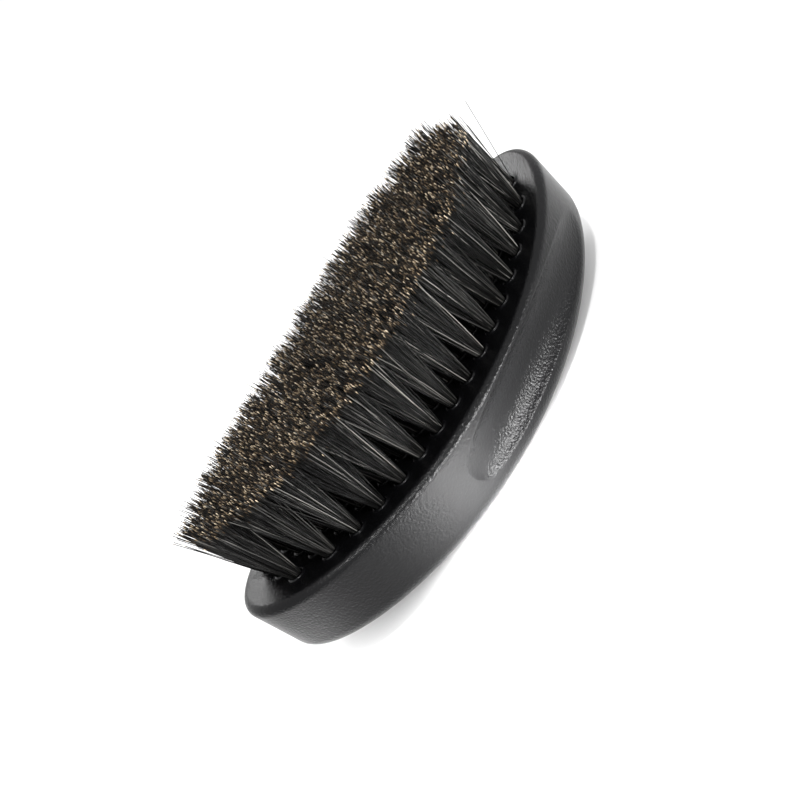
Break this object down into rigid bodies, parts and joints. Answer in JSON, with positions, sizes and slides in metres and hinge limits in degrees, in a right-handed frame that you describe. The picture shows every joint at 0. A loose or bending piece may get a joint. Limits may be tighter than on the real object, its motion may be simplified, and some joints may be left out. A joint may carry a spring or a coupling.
{
  "type": "beard brush",
  "caption": "Oval palm-held beard brush: a glossy black block with a hollow face, a domed back and side finger grips, filled with dense boar bristle trimmed to a hollow curve.",
  "frame": {"origin": "middle of the small flat that the domed back rests on", "axes": "+X along the block, +Y across it, +Z out of the bristle tips"},
  "size_m": [0.1197, 0.0562, 0.0441],
  "materials": {
    "lacquered_wood": "glossy black lacquer",
    "bristle": "black boar bristle with tan cut tips",
    "anchor_wire": "flat galvanised wire"
  },
  "bodies": {
    "root": {"block": "lacquered_wood", "tuft_rank_01": "bristle", "tuft_rank_02": "bristle", "tuft_rank_03": "bristle", "tuft_rank_04": "bristle", "tuft_rank_05": "bristle", "tuft_rank_06": "bristle", "tuft_rank_07": "bristle", "tuft_rank_08": "bristle", "tuft_rank_09": "bristle", "tuft_rank_10": "bristle", "tuft_rank_11": "bristle", "tuft_rank_12": "bristle", "tuft_rank_13": "bristle", "tuft_rank_14": "bristle", "tuft_rank_15": "bristle", "tuft_rank_16": "bristle", "tuft_rank_17": "bristle", "anchor_rank_01": "anchor_wire", "anchor_rank_02": "anchor_wire", "anchor_rank_03": "anchor_wire", "anchor_rank_04": "anchor_wire", "anchor_rank_05": "anchor_wire", "anchor_rank_06": "anchor_wire", "anchor_rank_07": "anchor_wire", "anchor_rank_08": "anchor_wire", "anchor_rank_09": "anchor_wire", "anchor_rank_10": "anchor_wire", "anchor_rank_11": "anchor_wire", "anchor_rank_12": "anchor_wire", "anchor_rank_13": "anchor_wire", "anchor_rank_14": "anchor_wire", "anchor_rank_15": "anchor_wire", "anchor_rank_16": "anchor_wire", "anchor_rank_17": "anchor_wire"}
  },
  "joints": []
}
